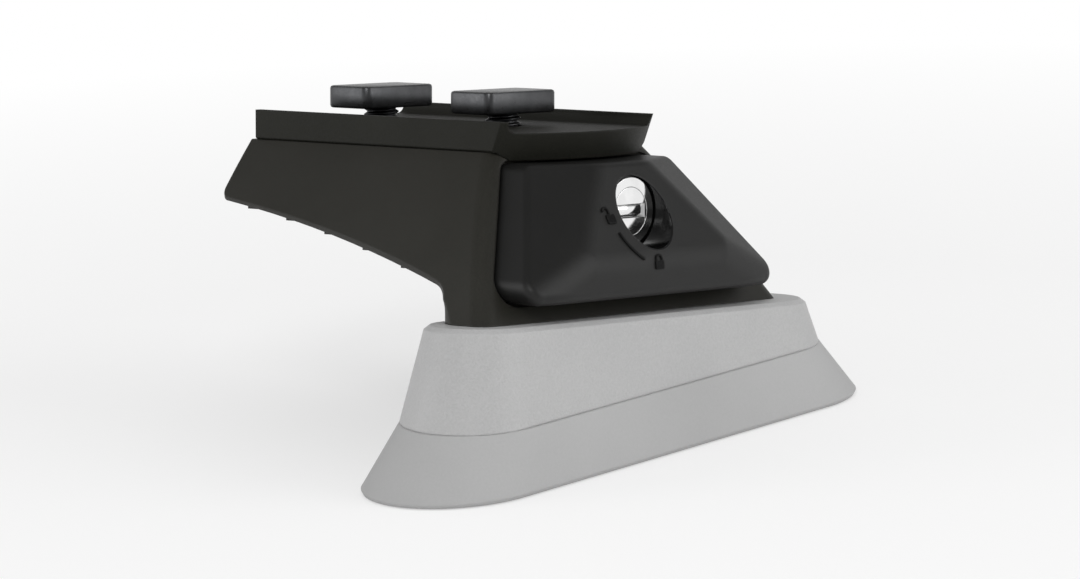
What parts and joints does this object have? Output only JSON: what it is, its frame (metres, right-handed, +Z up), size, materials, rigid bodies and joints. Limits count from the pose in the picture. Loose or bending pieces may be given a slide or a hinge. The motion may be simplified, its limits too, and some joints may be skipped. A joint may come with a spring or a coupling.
{
  "type": "roof bar foot",
  "caption": "Roof bar foot with a flared leg, a cantilever arm and bar saddle, a lift-off locking cover and a wedge base with a rubber pad.",
  "frame": {"origin": "middle of the pad's roof face, midway between the two roof bolt holes", "axes": "+X outboard along the bar, +Y along the roof towards the high end of the wedge, +Z up"},
  "size_m": [0.1079, 0.1427, 0.083],
  "materials": {
    "pad_rubber": "smooth matt grey",
    "grey_plastic": "fine grain, light grey",
    "black_nylon": "satin black, fine grain",
    "saddle_rubber": "satin black",
    "cover_plastic": "satin black, fine grain",
    "black_zinc": "black zinc plated steel",
    "zinc_steel": "zinc plated",
    "lock_chrome": "polished chrome",
    "wafer_brass": "plain brass"
  },
  "bodies": {
    "foot": {"base_pad": "pad_rubber", "base_moulding": "grey_plastic", "base_plate": "zinc_steel", "leg_body": "black_nylon", "bar_saddle": "saddle_rubber", "bar_bolts": "black_zinc", "bar_bolt_washers": "black_zinc", "bar_bolt_nuts": "black_zinc", "leg_screws": "zinc_steel", "leg_screw_washers": "zinc_steel", "leg_spring_washers": "zinc_steel"},
    "cover": {"lock_cover": "cover_plastic", "lock_sleeve": "lock_chrome", "lock_ring_nut": "zinc_steel"},
    "lock": {"lock_core": "lock_chrome", "lock_wafers": "wafer_brass", "lock_cam": "zinc_steel", "cam_screw": "zinc_steel"}
  },
  "joints": [
    {"name": "cover_slide", "type": "slide", "parent": "foot", "child": "cover", "axis": [1, 0, 0], "range_m": [0, 0.06]},
    {"name": "lock_turn", "type": "hinge", "parent": "cover", "child": "lock", "pos_m": [0, 0, 0.05035], "axis": [1, 0, 0], "range_deg": [0, 90]}
  ]
}
